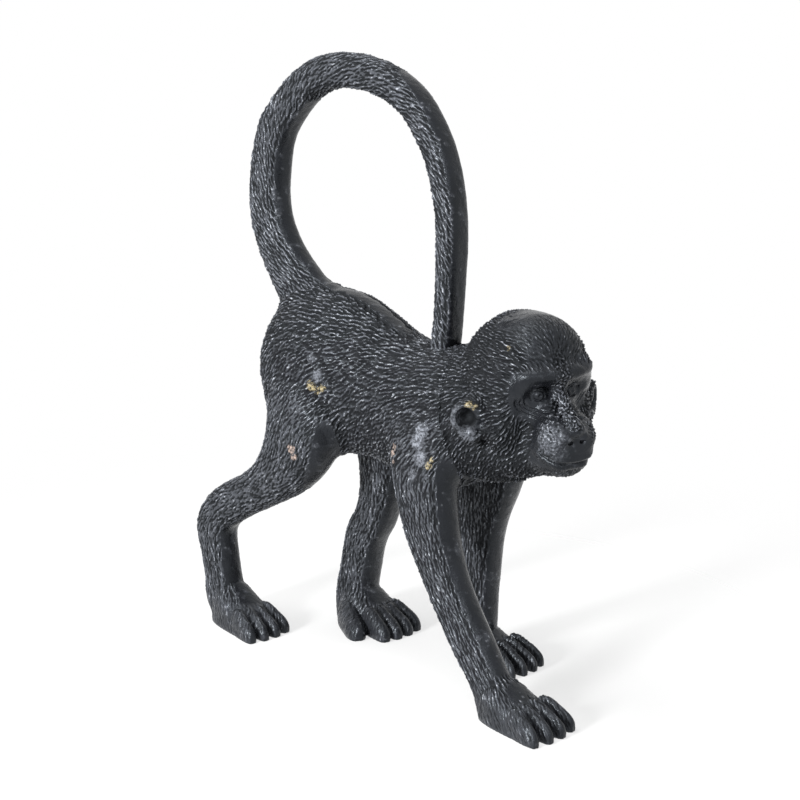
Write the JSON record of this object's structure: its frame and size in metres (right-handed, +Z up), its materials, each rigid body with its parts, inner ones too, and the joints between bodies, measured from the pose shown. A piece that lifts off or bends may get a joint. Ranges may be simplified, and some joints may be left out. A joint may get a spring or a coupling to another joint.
{
  "type": "monkey figurine",
  "caption": "Walking monkey figurine on four limbs, its tail looped over the back, cast in black resin with carved fur; stands free as an ornament.",
  "frame": {"origin": "on the floor, below the middle of the whole figure's box", "axes": "+X is the way the monkey walks, +Y its left side, +Z up"},
  "size_m": [0.2254, 0.0762, 0.2806],
  "materials": {
    "torso_resin": "black satin paint over cast resin with carved fur strokes, worn to resin at a few small chips",
    "head_resin": "black satin paint over cast resin with carved fur strokes, worn to resin at a few small chips",
    "tail_resin": "black satin paint over cast resin with carved fur strokes, worn to resin at a few small chips",
    "right_arm_resin": "black satin paint over cast resin with carved fur strokes, worn to resin at a few small chips",
    "left_arm_resin": "black satin paint over cast resin with carved fur strokes, worn to resin at a few small chips",
    "right_leg_resin": "black satin paint over cast resin with carved fur strokes, worn to resin at a few small chips",
    "left_leg_resin": "black satin paint over cast resin with carved fur strokes, worn to resin at a few small chips",
    "armature_steel": "plain drawn steel wire and rod, hidden inside the castings"
  },
  "bodies": {
    "root": {"torso": "torso_resin", "head": "head_resin", "tail": "tail_resin", "right_arm": "right_arm_resin", "left_arm": "left_arm_resin", "right_leg": "right_leg_resin", "left_leg": "left_leg_resin", "neck_pin": "armature_steel", "tail_wire": "armature_steel", "right_arm_wire": "armature_steel", "left_arm_wire": "armature_steel", "right_leg_wire": "armature_steel", "left_leg_wire": "armature_steel"}
  },
  "joints": []
}
